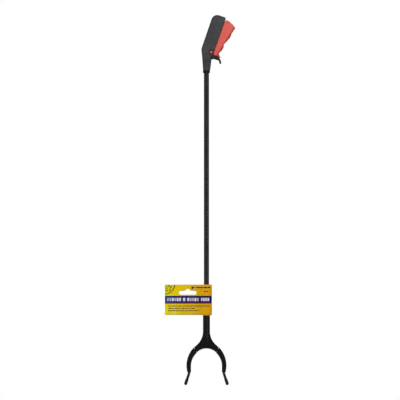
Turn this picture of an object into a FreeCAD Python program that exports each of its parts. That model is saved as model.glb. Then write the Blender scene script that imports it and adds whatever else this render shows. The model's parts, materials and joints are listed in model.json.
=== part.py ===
import FreeCAD, Part
import math
import os

# A pick-up reacher: squeezing the trigger pushes a rod down the tube, and a crosshead at the rod's foot
# swings two curved jaws together.  Millimetres.  +Z runs up the tube's axis, +X points to the trigger's
# side, +Y to the rear shell.  Z is zero at the lowest point of the open jaw tips.

V = FreeCAD.Vector

# ---- grip and trigger -------------------------------------------------------------------------------
PIVOT_X = 12.0                # trigger pivot, and so the crank arm that drives the rod
PIVOT_Z = 823.0
GRIP_TILT = math.radians(19.4)
GRIP_TOP = 92.1               # along the grip, from the pivot to its flat top
GRIP_BACK = -26.7             # across the grip, from the pivot to its back edge
GRIP_FRONT = 6.5              # across the grip, from the pivot to its open front edge
GRIP_HALF = 14.0              # half of the grip's thickness
GRIP_TOP_ROUND = 15.0         # of the corner above the web of the thumb
SHELL_EDGE_ROUND = 2.6
SHOULDER_Z = 786.0            # seen from the side, the neck swells from here
SWELL_Z = 805.5               # to the grip's full thickness here
SLOT_HALF = 11.0              # half of the slot that the trigger swings in
SHELL_WALL = 2.4
TRIGGER_HALF = 10.6
TRIGGER_WALL = 2.2
TRIGGER_SWING = 16.0          # degrees from rest to fully squeezed
TRUNNION_R = 2.8
TRUNNION_RECESS_R = 6.2
TRUNNION_RECESS_DEPTH = 2.0
HUB_R = 8.0
TRIGGER_RIM = 3.4             # of the raised border round the trigger's recessed side panels
TRIGGER_PANEL_DEPTH = 0.6
TRIGGER_EDGE_ROUND = 1.5
SHELL_SCREW_R = 1.5
SHELL_BOSS_R = 3.5
SHELL_HEAD_R = 2.9
SHELL_HEAD_LOW = 11.9         # the head's underside and top, towards the rear
SHELL_HEAD_HIGH = 13.7

# ---- lock lever -------------------------------------------------------------------------------------
LOCK_X = PIVOT_X + 4.5
LOCK_Z = PIVOT_Z - 12.5
LOCK_SWING = 20.0
LOCK_PIN_R = 1.5
LEVER_INNER = 12.4            # inner and outer faces of the lever's two cheeks
LEVER_OUTER = 13.8
LEVER_GAP = 0.35              # around the lever in its pocket
PAWL_HALF = 2.5
PAWL_LEAN = math.radians(141.8)   # from the lever's pivot towards the trigger's hub
PAWL_REACH = 6.0
LEVER_HUB_HALF = 5.0

# ---- tube and rod -----------------------------------------------------------------------------------
TUBE_R = 6.35
TUBE_BORE_R = 5.35
TUBE_LOW = 128.0
TUBE_HIGH = 797.0
PLUG_R = 5.3                  # bushes and guides inside the tube
ROD_R = 1.5
ROD_BORE_R = 1.57
ROD_LOW = 104.4
ROD_HIGH = 817.0
PIN_RISE = PIVOT_X * math.tan(math.radians(TRIGGER_SWING / 2))   # half of the rod's stroke
FORK_PIN_Z = PIVOT_Z + PIN_RISE
BUSH_TOP = 799.0              # the top bush's flange, which the spring stands on
COLLAR_LOW = 811.0            # the collar that the spring pushes up
PIP_R = 1.9                   # pips that lock the tube into the housing and the yoke
PIP_HOLE_R = 2.0
PIP_HEIGHTS = (782.0, 152.0)  # in the housing and in the yoke
NECK_LOW = 775.4
RING_LOW = 771.0
RING_R = 8.7
SPIGOT_R = 7.6                # the housing's end, which the ring is pressed over

# ---- jaws -------------------------------------------------------------------------------------------
STEM_R = 8.65
STEM_TOP = 186.0
JAW_PIVOT_X = 8.5
JAW_PIVOT_Z = 98.0
JAW_SWING = 26.6              # degrees from open to closed
DRIVE_ARM = PIN_RISE / math.tan(math.radians(JAW_SWING / 2))
DRIVE_X = JAW_PIVOT_X + DRIVE_ARM
DRIVE_Z = JAW_PIVOT_Z + PIN_RISE
DRIVE_PIN_R = 1.6
JAW_PIN_R = 2.0
CROSSHEAD_HALF = 4.9
YOKE_HALF = 8.2
YOKE_CAVITY_HALF = 5.3
TONGUE_HALF = 3.0
ARM_HALF = 6.0
TIP_HALF = 7.5
YOKE_END_R = 22.6             # the yoke's cheeks end on this radius about each jaw pivot
ARM_START_R = 23.2            # and the full-thickness arm starts on this one
CROWN_R = 33.4                # the arch between the jaws
CROWN_Z = 57.1

CLEAR = 0.02                  # radial clearance of a fitted pin
RUN = 0.06                    # radial clearance of a running pin
SLOT_GAP = 0.1                # radial clearance of a pin in its slot
PAST = 20.0                   # how far a cutter runs past what it cuts
FLAT = 1e-4                   # an edge no wider than this lies in one plane

os.makedirs("parts", exist_ok=True)


def save(name, shape):
    shape.exportStep("parts/" + name + ".step")


def join(shapes):
    return shapes[0].multiFuse(shapes[1:]).removeSplitter()


def grip_point(along, across):
    """A point of the grip's tilted frame, which starts at the trigger pivot, as X and Z."""
    sin_tilt, cos_tilt = math.sin(GRIP_TILT), math.cos(GRIP_TILT)
    return (PIVOT_X + along * sin_tilt + across * cos_tilt,
            PIVOT_Z + along * cos_tilt - across * sin_tilt)


def outline(corners):
    """A closed wire in the XZ plane through corners (x, z, radius), rounded where the radius isn't 0."""
    count = len(corners)
    points = [V(x, 0, z) for x, z, radius in corners]
    pieces = []
    for i, (x, z, radius) in enumerate(corners):
        here = points[i]
        if radius == 0:
            pieces.append((here, here, None))
            continue
        back = (points[i - 1] - here).normalize()
        ahead = (points[(i + 1) % count] - here).normalize()
        half = back.getAngle(ahead) / 2
        inward = (back + ahead).normalize()
        reach = radius / math.tan(half)
        middle = here + inward * (radius / math.sin(half) - radius)
        pieces.append((here + back * reach, here + ahead * reach, middle))
    edges = []
    for i, (start, end, middle) in enumerate(pieces):
        if middle is not None:
            edges.append(Part.Arc(start, middle, end).toShape())
        following = pieces[(i + 1) % count][0]
        if (following - end).Length > 1e-6:
            edges.append(Part.LineSegment(end, following).toShape())
    return Part.Wire(edges)


def slab(wire, y_low, y_high):
    face = Part.Face(wire)
    face.translate(V(0, y_low, 0))
    return face.extrude(V(0, y_high - y_low, 0))


def plate(corners, y_low, y_high):
    return slab(outline(corners), y_low, y_high)


def block(x_range, y_range, z_range):
    low = V(x_range[0], y_range[0], z_range[0])
    return Part.makeBox(x_range[1] - low.x, y_range[1] - low.y, z_range[1] - low.z, low)


def disc(x, z, radius, y_low, y_high):
    return Part.makeCylinder(radius, y_high - y_low, V(x, y_low, z), V(0, 1, 0))


def post(radius, z_low, z_high):
    return Part.makeCylinder(radius, z_high - z_low, V(0, 0, z_low))


def turned(shape, x, z, degrees):
    """A copy turned clockwise, as seen from the front, about the line through x and z along Y."""
    copy = shape.copy()
    copy.rotate(V(x, 0, z), V(0, 1, 0), degrees)
    return copy


def pin_slot(pivot_x, pivot_z, pin_x, pin_z, radius):
    """The slot along an arm of a pivot in which a straight-moving pin slides as the arm swings."""
    nearest = abs(pin_x - pivot_x)
    furthest = math.hypot(pin_x - pivot_x, pin_z - pivot_z)
    lean = math.atan2(pin_z - pivot_z, pin_x - pivot_x)
    holes = [disc(pivot_x + reach * math.cos(lean), pivot_z + reach * math.sin(lean), radius, -10, 10)
             for reach in (nearest - 0.05, (nearest + furthest) / 2, furthest + 0.05)]
    return join(holes)


def mirrored(shape):
    return shape.mirror(V(0, 0, 0), V(1, 0, 0))


def both_sides(make, low, high):
    """The same shape on both sides of the middle plane, from |Y| = low to |Y| = high."""
    return [make(-high, -low), make(low, high)]


def two_discs(x, z, radius, low, high):
    return [disc(x, z, radius, -high, -low), disc(x, z, radius, low, high)]


def flat_rims(shape):
    """The edges that lie in one plane across Y, which is where a slab's faces end."""
    return [edge for edge in shape.Edges if edge.BoundBox.YLength < FLAT]


# ---- grip shells ------------------------------------------------------------------------------------
HOUSING_ROOM_X = (-40.0, 80.0)    # a box that holds the whole housing
HOUSING_ROOM_TOP = 930.0
NECK_TAPER_Z = NECK_LOW + 36.0    # the neck is round up to here


def above(z_low):
    """All the room above z_low that the housing can take up."""
    return block(HOUSING_ROOM_X, (-PAST, PAST), (z_low, HOUSING_ROOM_TOP))


def grip_outline():
    return outline([
        grip_point(GRIP_TOP, GRIP_BACK) + (GRIP_TOP_ROUND,),
        grip_point(GRIP_TOP, GRIP_FRONT) + (4.0,),
        grip_point(-3.0, GRIP_FRONT) + (8.0,),
        (LOCK_X + 3.0, LOCK_Z + 3.5, 3.0),
        (LOCK_X + 3.0, LOCK_Z - 4.6, 3.0),
        (12.6, LOCK_Z - 5.4, 2.5),
        (9.0, 776.0, 0),
        (9.0, NECK_LOW - 5.0, 0),
        (-8.4, NECK_LOW - 5.0, 0),
        (-8.4, 778.0, 40.0),
        (-10.9, 812.0, 60.0),
        (-12.8, 830.5, 14.0),
    ])


def side_taper(neck_half, shoulder_half, grip_half, z_low):
    """The housing seen from its side: a round neck that swells to the grip's thickness."""
    right = [(neck_half, z_low), (shoulder_half, SHOULDER_Z), (grip_half, SWELL_Z),
             (grip_half, HOUSING_ROOM_TOP)]
    points = [V(HOUSING_ROOM_X[0], y, z) for y, z in right]
    points += [V(HOUSING_ROOM_X[0], -y, z) for y, z in reversed(right)]
    face = Part.Face(Part.makePolygon(points + points[:1]))
    return face.extrude(V(HOUSING_ROOM_X[1] - HOUSING_ROOM_X[0], 0, 0))


def lever_face():
    """The outline of the lock lever's cheeks, which lie in pockets of the housing."""
    corners = [
        (PIVOT_X - 2.4, PIVOT_Z - 12.5, 3.5),
        (PIVOT_X + 4.5, PIVOT_Z - 6.8, 6.0),
        (PIVOT_X + 14.5, PIVOT_Z - 10.0, 6.0),
        (PIVOT_X + 19.6, PIVOT_Z - 13.4, 3.0),
        (PIVOT_X + 22.6, PIVOT_Z - 20.4, 2.0),
        (PIVOT_X + 15.8, PIVOT_Z - 20.6, 2.0),
        (PIVOT_X + 9.0, PIVOT_Z - 18.2, 6.0),
        (PIVOT_X + 0.8, PIVOT_Z - 17.6, 3.5),
    ]
    return outline(corners)


def lever_cheek(y_low, y_high):
    return slab(lever_face(), y_low, y_high)


def lever_pocket(y_low, y_high):
    """What one cheek sweeps, with a gap all round."""
    room = Part.Face(lever_face()).makeOffset2D(LEVER_GAP)
    room.translate(V(0, y_low, 0))
    room = room.extrude(V(0, y_high - y_low, 0))
    return join([turned(room, LOCK_X, LOCK_Z, LOCK_SWING * step / 4) for step in range(5)])


SCREW_SPOTS = [grip_point(84.0, -20.0), grip_point(50.0, -18.5), grip_point(14.0, -19.5)]


def housing():
    outer = slab(grip_outline(), -GRIP_HALF, GRIP_HALF)
    outer = outer.makeFillet(SHELL_EDGE_ROUND, flat_rims(outer))
    outer = outer.common(side_taper(8.7, 9.4, GRIP_HALF, NECK_LOW))
    neck = Part.makeCone(9.0, 19.0, NECK_TAPER_Z - NECK_LOW, V(0.3, 0, NECK_LOW))
    outer = outer.common(neck.fuse(above(NECK_TAPER_Z)))
    inner_face = Part.Face(grip_outline()).makeOffset2D(-SHELL_WALL)
    inner_face.translate(V(0, -SLOT_HALF, 0))
    cavity = inner_face.extrude(V(0, 2 * SLOT_HALF, 0))
    cavity = cavity.common(side_taper(6.2, 7.0, SLOT_HALF, NECK_LOW - 10.0))
    cavity = cavity.common(above(TUBE_HIGH))
    open_front = plate([grip_point(-9.0, -2.0) + (0,), grip_point(89.0, -2.0) + (0,),
                        grip_point(89.0, 30.0) + (0,), grip_point(-9.0, 30.0) + (0,)],
                       -SLOT_HALF, SLOT_HALF)
    under_lip = plate([(PIVOT_X, PIVOT_Z, 0), (PIVOT_X + 30, PIVOT_Z, 0), (PIVOT_X + 30, PIVOT_Z - 19.0, 0),
                       (PIVOT_X + 8.0, PIVOT_Z - 9.5, 0)], -SLOT_HALF, SLOT_HALF)
    hub_room = disc(PIVOT_X, PIVOT_Z, HUB_R + 0.9, -SLOT_HALF, SLOT_HALF)
    lever_way = block((PIVOT_X - 3.0, PIVOT_X + 27.0), (-6.0, 6.0), (LOCK_Z - 8.0, LOCK_Z + 6.0))
    shell = outer.cut(cavity).cut(open_front).cut(under_lip).cut(hub_room).cut(lever_way)
    shell = shell.cut(post(TUBE_R + CLEAR, NECK_LOW - 1, TUBE_HIGH + 0.1))
    return shell


def grip_shells():
    shell = housing()
    pockets = both_sides(lever_pocket, LEVER_INNER - LEVER_GAP, GRIP_HALF + 1)
    bosses = []
    holes = []
    for x, z in SCREW_SPOTS:
        bosses += two_discs(x, z, SHELL_BOSS_R, 0.0, SLOT_HALF + 0.5)
        holes += [disc(x, z, SHELL_SCREW_R + CLEAR, -8.0, SHELL_HEAD_LOW + 1.1),
                  disc(x, z, SHELL_HEAD_R + 0.2, SHELL_HEAD_LOW, GRIP_HALF + 1)]
    lock_bosses = two_discs(LOCK_X, LOCK_Z, 3.3, 6.0, LEVER_INNER - LEVER_GAP)
    pips = two_discs(0, PIP_HEIGHTS[0], PIP_R, TUBE_BORE_R + 0.1, TUBE_R + 1.0)
    for pocket in pockets:
        shell = shell.cut(pocket)
    shell = join([shell] + bosses + lock_bosses + pips)
    shell = shell.cut(join(holes))
    shell = shell.cut(disc(LOCK_X, LOCK_Z, LOCK_PIN_R + CLEAR, -PAST, PAST))
    shell = shell.cut(disc(PIVOT_X, PIVOT_Z, TRUNNION_R + RUN, -PAST, PAST))
    for recess in two_discs(PIVOT_X, PIVOT_Z, TRUNNION_RECESS_R, GRIP_HALF - TRUNNION_RECESS_DEPTH, PAST):
        shell = shell.cut(recess)
    round_spigot = post(PAST, NECK_LOW - 1, NECK_LOW + 2.6).cut(post(SPIGOT_R, NECK_LOW - 2, NECK_LOW + 3))
    shell = shell.cut(round_spigot)
    z_room = (NECK_LOW - PAST, HOUSING_ROOM_TOP)
    save("grip_shell_front", shell.common(block(HOUSING_ROOM_X, (-PAST, 0), z_room)))
    save("grip_shell_rear", shell.common(block(HOUSING_ROOM_X, (0, PAST), z_room)))


grip_shells()


def cross_screw(x, z, head_low, head_high, tip, shank_r, head_r):
    """A cross-head screw along Y, its head towards the rear."""
    slot_half, slot_depth = 0.35, 0.9
    screw = disc(x, z, shank_r, tip, head_low).fuse(disc(x, z, head_r, head_low, head_high))
    depth = (head_high - slot_depth, head_high)
    for half_x, half_z in ((head_r / 2, slot_half), (slot_half, head_r / 2)):
        screw = screw.cut(block((x - half_x, x + half_x), depth, (z - half_z, z + half_z)))
    return screw


def neck_ring():
    ring = post(RING_R, RING_LOW, NECK_LOW + 2.5)
    ring = ring.makeFillet(0.6, [edge for edge in ring.Edges if edge.BoundBox.ZLength < FLAT])
    ring = ring.cut(post(SPIGOT_R + CLEAR, NECK_LOW - 0.05, NECK_LOW + 3))
    return ring.cut(post(TUBE_R + CLEAR, RING_LOW - 1, NECK_LOW + 3))


SHELL_SCREWS = [cross_screw(x, z, SHELL_HEAD_LOW, SHELL_HEAD_HIGH, -7.5, SHELL_SCREW_R, SHELL_HEAD_R)
                for x, z in SCREW_SPOTS]
save("shell_screws", Part.makeCompound(SHELL_SCREWS))
save("neck_ring", neck_ring())


# ---- trigger ----------------------------------------------------------------------------------------
TRIGGER_OUTLINE = [            # along and across the grip from the pivot, and the corner's radius
    (76.0, 4.5, 4.0),
    (87.0, 8.2, 1.5),
    (87.0, 14.2, 3.5),
    (82.0, 26.9, 16.0),
    (75.8, 36.6, 4.0),
    (67.4, 34.2, 6.0),
    (59.0, 32.3, 14.0),
    (50.0, 32.4, 16.0),
    (38.0, 28.0, 26.0),
    (27.8, 22.9, 3.5),
    (22.5, 25.1, 9.0),
    (12.6, 23.7, 10.0),
    (6.6, 20.8, 6.0),
    (2.7, 18.8, 2.5),
    (-1.4, 21.4, 5.0),
    (-5.9, 27.6, 0.8),
    (-6.6, 22.4, 1.5),
    (-6.3, 17.0, 4.0),
    (-5.6, 10.0, 4.0),
    (-4.4, 4.5, 2.0),
]


def trigger_face():
    corners = [grip_point(along, across) + (radius,) for along, across, radius in TRIGGER_OUTLINE]
    return outline(corners)


def pawl(grow, tip_round):
    """The lever's nose, which drops into a notch of the trigger's hub to lock it, grown by a gap."""
    reach = PAWL_REACH + grow
    tip_x = LOCK_X + reach * math.cos(PAWL_LEAN)
    tip_z = LOCK_Z + reach * math.sin(PAWL_LEAN)
    side_x, side_z = -math.sin(PAWL_LEAN), math.cos(PAWL_LEAN)
    root, tip = 2.5 + grow, 1.0 + grow
    corners = [(LOCK_X + root * side_x, LOCK_Z + root * side_z, 0),
               (LOCK_X - root * side_x, LOCK_Z - root * side_z, 0),
               (tip_x - tip * side_x, tip_z - tip * side_z, tip_round),
               (tip_x + tip * side_x, tip_z + tip * side_z, tip_round)]
    return plate(corners, -PAWL_HALF - grow, PAWL_HALF + grow)


def pawl_room():
    """What the pawl sweeps on its way in, with a gap all round."""
    room = pawl(0.5, 0)
    return join([turned(room, LOCK_X, LOCK_Z, LOCK_SWING * step / 4) for step in range(5)])


def trigger():
    face = trigger_face()
    body = slab(face, -TRIGGER_HALF, TRIGGER_HALF)
    body = body.makeFillet(TRIGGER_EDGE_ROUND, flat_rims(body))
    hollow_half = TRIGGER_HALF - TRIGGER_WALL
    hollow = Part.Face(face).makeOffset2D(-TRIGGER_WALL)
    hollow.translate(V(0, -hollow_half, 0))
    hollow = hollow.extrude(V(0, 2 * hollow_half, 0))
    for step in (0.0, 2.0, 4.0):       # towards the grip, so that the back is open
        moved = hollow.copy()
        moved.translate(V(-step * math.cos(GRIP_TILT), 0, step * math.sin(GRIP_TILT)))
        body = body.cut(moved)
    panel = Part.Face(face).makeOffset2D(-TRIGGER_RIM)
    for low in (-TRIGGER_HALF - 1.0, TRIGGER_HALF - TRIGGER_PANEL_DEPTH):
        recess = panel.copy()
        recess.translate(V(0, low, 0))
        body = body.cut(recess.extrude(V(0, 1.0 + TRIGGER_PANEL_DEPTH, 0)))
    dimple_x, dimple_z = grip_point(81.2, 14.3)
    body = body.cut(disc(dimple_x, dimple_z, 1.25, -TRIGGER_HALF - 1, -TRIGGER_HALF + 1.4))
    cheeks = two_discs(PIVOT_X, PIVOT_Z, 7.5, hollow_half, TRIGGER_HALF)
    trunnions = two_discs(PIVOT_X, PIVOT_Z, TRUNNION_R, hollow_half, GRIP_HALF - 0.3)
    barrel = disc(PIVOT_X, PIVOT_Z, 5.5, -hollow_half, hollow_half)
    hub = disc(PIVOT_X, PIVOT_Z, HUB_R, -PAWL_HALF, PAWL_HALF)
    crank = plate([(-3.4, FORK_PIN_Z - 3.2, 3.0), (-3.4, FORK_PIN_Z + 3.2, 3.0),
                   (PIVOT_X, PIVOT_Z + 6.0, 0), (PIVOT_X, PIVOT_Z - 6.0, 0)], -PAWL_HALF, PAWL_HALF)
    body = join([body, barrel, hub, crank] + cheeks + trunnions)
    body = body.cut(pin_slot(PIVOT_X, PIVOT_Z, 0.0, FORK_PIN_Z, ROD_R + SLOT_GAP))
    notch = pawl_room()
    for angle in (0.0, TRIGGER_SWING):
        body = body.cut(turned(notch, PIVOT_X, PIVOT_Z, angle))
    return body


save("trigger", trigger())


# ---- lock lever -------------------------------------------------------------------------------------
def lock_lever():
    cheeks = both_sides(lever_cheek, LEVER_INNER, LEVER_OUTER)
    web = lever_cheek(-LEVER_OUTER, LEVER_OUTER)
    web = web.common(block((PIVOT_X + 15.0, PIVOT_X + 55.0), (-PAST, PAST), (PIVOT_Z - 40, PIVOT_Z)))
    web = web.cut(plate([(PIVOT_X - 5, PIVOT_Z - 5, 0), (PIVOT_X + 30, PIVOT_Z - 5, 0),
                         (PIVOT_X + 30, PIVOT_Z - 16.5, 0), (PIVOT_X - 5, PIVOT_Z - 11.0, 0)],
                        -LEVER_INNER, LEVER_INNER))
    floor = plate([(LOCK_X - 1.5, LOCK_Z - 1.0, 0), (PIVOT_X + 16.5, PIVOT_Z - 16.2, 0),
                   (PIVOT_X + 16.5, PIVOT_Z - 20.2, 1.0), (PIVOT_X + 9.0, PIVOT_Z - 18.0, 6.0),
                   (LOCK_X - 2.0, LOCK_Z - 4.6, 1.5)], -LEVER_HUB_HALF, LEVER_HUB_HALF)
    hub = disc(LOCK_X, LOCK_Z, 3.4, -LEVER_HUB_HALF, LEVER_HUB_HALF)
    tail = plate([(PIVOT_X + 16.4, PIVOT_Z - 18.6, 0), (PIVOT_X + 22.4, PIVOT_Z - 18.6, 0),
                  (PIVOT_X + 24.3, PIVOT_Z - 24.0, 5.0), (PIVOT_X + 24.6, PIVOT_Z - 29.6, 1.9),
                  (PIVOT_X + 20.2, PIVOT_Z - 29.6, 1.9), (PIVOT_X + 19.2, PIVOT_Z - 23.6, 5.0)], -7.0, 7.0)
    lever = join(cheeks + [web, floor, pawl(0.0, 0.4), tail, hub])
    return lever.cut(disc(LOCK_X, LOCK_Z, LOCK_PIN_R + RUN, -PAST, PAST))


save("lock_lever", lock_lever())
save("lock_pivot_pin", disc(LOCK_X, LOCK_Z, LOCK_PIN_R, -13.7, 13.7))


# ---- tube, rod and what guides it -------------------------------------------------------------------
def tube():
    shape = post(TUBE_R, TUBE_LOW, TUBE_HIGH).cut(post(TUBE_BORE_R, TUBE_LOW - 1, TUBE_HIGH + 1))
    for z in PIP_HEIGHTS:
        shape = shape.cut(disc(0, z, PIP_HOLE_R, -PAST, PAST))
    return shape


def guide(z_low, z_high):
    return post(PLUG_R, z_low, z_high).cut(post(ROD_BORE_R, z_low - 1, z_high + 1))


save("tube", tube())
FLANGE = post(TUBE_R - 0.05, TUBE_HIGH, BUSH_TOP).cut(post(ROD_BORE_R, TUBE_HIGH - 1, BUSH_TOP + 1))
save("tube_top_bush", join([guide(TUBE_HIGH - 11.0, TUBE_HIGH), FLANGE]))
for guide_name, guide_z in (("upper", 640.0), ("middle", 470.0), ("lower", 300.0)):
    save("rod_guide_" + guide_name, guide(guide_z, guide_z + 10.0))
save("tube_end_bush", guide(TUBE_LOW, TUBE_LOW + 12.0))
save("push_rod", post(ROD_R, ROD_LOW, ROD_HIGH))


def rod_end_fork():
    half_x, half_y, gap = 3.2, 4.8, 2.8
    base = COLLAR_LOW + 1.8
    fork = block((-half_x, half_x), (-half_y, half_y), (base, FORK_PIN_Z))
    fork = fork.fuse(disc(0, FORK_PIN_Z, half_x, -half_y, half_y))
    fork = fork.cut(block((-PAST, PAST), (-gap, gap), (base + 5.4, base + PAST)))
    fork = fork.cut(disc(0, FORK_PIN_Z, ROD_R + CLEAR, -PAST, PAST))
    return fork.cut(post(ROD_R + CLEAR, base - 1, ROD_HIGH + 0.1))


save("rod_end_fork", rod_end_fork())
save("rod_end_pin", disc(0, FORK_PIN_Z, ROD_R, -5.4, 5.4))
save("spring_collar", post(4.3, COLLAR_LOW, COLLAR_LOW + 1.7).cut(
    post(ROD_R + CLEAR, COLLAR_LOW - 1, COLLAR_LOW + 2)))


def return_spring():
    wire_r = 0.45
    mean_r = 3.0
    low = BUSH_TOP + wire_r + 0.1
    high = COLLAR_LOW - wire_r - 0.1
    turns = 5.0
    path = Part.makeHelix((high - low) / turns, high - low, mean_r)
    path.translate(V(0, 0, low))
    section = Part.Wire(Part.makeCircle(wire_r, V(mean_r, 0, low), V(0, 1, 0)))
    return Part.Wire(path).makePipeShell([section], True, True)


save("return_spring", return_spring())


# ---- crosshead --------------------------------------------------------------------------------------
def crosshead():
    """Two plates that carry the drive pins, joined by the block that the rod is nutted through."""
    half = [(0, 112.0, 0), (4.8, 112.0, 0.5), (4.8, 109.2, 0), (9.6, 107.4, 3.0), (18.2, 100.8, 0),
            (17.4, 98.2, 0), (13.0, 98.6, 0), (12.1, 104.2, 2.5), (0, ROD_LOW, 0)]
    plates = both_sides(lambda low, high: plate(half, low, high), 3.3, CROSSHEAD_HALF)
    plates += two_discs(DRIVE_X, DRIVE_Z, 3.0, 3.3, CROSSHEAD_HALF)
    plates += [mirrored(shape) for shape in plates]
    middle = block((-4.8, 4.8), (-CROSSHEAD_HALF, CROSSHEAD_HALF), (108.0, 116.0))
    head = join(plates + [middle])
    head = head.cut(post(ROD_R + CLEAR, ROD_LOW - PAST, ROD_LOW + PAST))
    for side in (-1, 1):
        head = head.cut(disc(side * DRIVE_X, DRIVE_Z, DRIVE_PIN_R + CLEAR, -PAST, PAST))
    return head


def rod_nut():
    corner_r, height = 3.1, 2.4
    low = ROD_LOW + 1.1
    corners = [V(corner_r * math.cos(math.radians(60 * i)), corner_r * math.sin(math.radians(60 * i)), low)
               for i in range(6)]
    nut = Part.Face(Part.makePolygon(corners + corners[:1])).extrude(V(0, 0, height))
    return nut.cut(post(ROD_R + CLEAR, low - 1, low + height + 1))


save("crosshead", crosshead())
save("rod_nut", rod_nut())
for side_name, side in (("left", -1), ("right", 1)):
    save("crosshead_pin_" + side_name,
         disc(side * DRIVE_X, DRIVE_Z, DRIVE_PIN_R, -CROSSHEAD_HALF, CROSSHEAD_HALF))
    save("jaw_pivot_pin_" + side_name, disc(side * JAW_PIVOT_X, JAW_PIVOT_Z, JAW_PIN_R, -6.9, 6.9))


# ---- yoke -------------------------------------------------------------------------------------------
FLARE_LEAN = math.radians(48.0)   # of the flare's straight edge, from the vertical
FLARE_CORNER_Z = 113.1        # where that edge would meet the stem's side
FLARE_ROUND = 44.0
FLARE_TOP = 134.0
YOKE_WALL = 2.2
YOKE_SCREWS = [(8.4, 112.5), (-8.4, 112.5), (0.0, 95.0)]
YOKE_SCREW_R = 1.25
YOKE_HEAD_R = 2.1
YOKE_HEAD_LOW = 6.6
YOKE_HEAD_HIGH = 8.0
YOKE_ROOM_X = (-60.0, 60.0)   # a box that holds the whole yoke
YOKE_ROOM_Z = (32.0, 200.0)
CONE_LOW = 112.0              # the cone that blends the flare into the stem starts here


def flare_corners(half_width, inset, radius, top):
    """A straight stem above two flares whose edges are drawn in by inset."""
    sin_lean, cos_lean = math.sin(FLARE_LEAN), math.cos(FLARE_LEAN)
    reach = STEM_R * cos_lean + FLARE_CORNER_Z * sin_lean - inset
    end_x, end_z = 46.0, 50.0
    right = [(half_width, top, 0), (half_width, (reach - half_width * cos_lean) / sin_lean, radius),
             (end_x, (reach - end_x * cos_lean) / sin_lean, 0), (end_x, end_z, 0)]
    left = [(-x, z, r) for x, z, r in reversed(right)]
    return right + left


def yoke_front_view(y_low, y_high):
    """The wishbone without its arch: everything within the end radius of the jaw pivots."""
    flare = plate(flare_corners(STEM_R, 0.0, FLARE_ROUND, FLARE_TOP), y_low, y_high)
    ends = [disc(side * JAW_PIVOT_X, JAW_PIVOT_Z, YOKE_END_R, y_low, y_high) for side in (-1, 1)]
    middle = block((-20, 20), (y_low, y_high), (110, FLARE_TOP))
    shape = flare.common(join(ends + [middle]))
    return shape.cut(disc(0, CROWN_Z, CROWN_R, y_low - 1, y_high + 1))


def yoke():
    body = yoke_front_view(-YOKE_HALF, YOKE_HALF)
    rims = [edge for edge in flat_rims(body) if edge.BoundBox.ZMin < FLARE_TOP - FLAT]
    body = body.makeFillet(1.8, rims)
    shoulder = Part.makeCone(18.0, STEM_R, FLARE_TOP - CONE_LOW, V(0, 0, CONE_LOW))
    below = block(YOKE_ROOM_X, (-PAST, PAST), (YOKE_ROOM_Z[0], CONE_LOW))
    body = body.common(shoulder.fuse(below))
    stem = post(STEM_R, 106.0, STEM_TOP)
    top_rim = [edge for edge in stem.Edges if edge.BoundBox.ZMin > STEM_TOP - FLAT]
    stem = stem.makeFillet(0.8, top_rim)
    body = join([body, stem])
    cavity = plate(flare_corners(6.3, YOKE_WALL, FLARE_ROUND, 121.0),
                   -YOKE_CAVITY_HALF, YOKE_CAVITY_HALF)
    body = body.cut(cavity)
    body = body.cut(post(TUBE_R + CLEAR, TUBE_LOW, STEM_TOP + 1)).cut(post(4.2, 118.0, TUBE_LOW + 1))
    boss_half = YOKE_CAVITY_HALF + 0.5
    bosses = [disc(x, z, 2.6, -boss_half, boss_half) for x, z in YOKE_SCREWS]
    pips = two_discs(0, PIP_HEIGHTS[1], PIP_R, TUBE_BORE_R + 0.1, TUBE_R + 1.0)
    body = join([body] + bosses + pips)
    for x, z in YOKE_SCREWS:
        body = body.cut(disc(x, z, YOKE_SCREW_R + CLEAR, -6.4, YOKE_HEAD_LOW + 0.4))
        body = body.cut(disc(x, z, YOKE_HEAD_R + 0.1, YOKE_HEAD_LOW, PAST))
    for side in (-1, 1):
        body = body.cut(disc(side * JAW_PIVOT_X, JAW_PIVOT_Z, JAW_PIN_R + CLEAR, -7.0, 7.0))
    return body


YOKE = yoke()
save("yoke_front", YOKE.common(block(YOKE_ROOM_X, (-PAST, 0), YOKE_ROOM_Z)))
save("yoke_rear", YOKE.common(block(YOKE_ROOM_X, (0, PAST), YOKE_ROOM_Z)))
save("yoke_screws", Part.makeCompound([cross_screw(x, z, YOKE_HEAD_LOW, YOKE_HEAD_HIGH, -6.0,
                                                   YOKE_SCREW_R, YOKE_HEAD_R) for x, z in YOKE_SCREWS]))


# ---- jaw arms and tips ------------------------------------------------------------------------------
ARM_END_Z = 31.0
ARM_TOP_Z = 94.0
ARM_EDGE_ROUND = 2.6
TIP_TOP_X = 42.9
TIP_TOP_Z = 29.0
TIP_LEAN = math.atan2(9.1, 27.5)
TIP_BLADE = 3.3               # half of the tip's thickness, seen from the front
TIP_PAD = 4.05                # the same at its pad, and the radius of its end
TIP_LENGTH = (TIP_TOP_Z - TIP_PAD) / math.cos(TIP_LEAN)   # to the centre of that end


def arm_band(y_low, y_high):
    """The crescent between the arm's outer and inner curves, straight inside below their waist."""
    inner_x, inner_z, inner_r = -6.4, 46.9, 44.6
    outer = disc(-15.0, 48.5, 64.4, y_low, y_high)
    inner = disc(inner_x, inner_z, inner_r, y_low - 1, y_high + 1)
    below = block((0, inner_x + inner_r), (y_low, y_high), (0, inner_z))
    band = outer.cut(inner).cut(below)
    return band.common(block((20, 80), (y_low, y_high), (ARM_END_Z, ARM_TOP_Z)))


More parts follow.
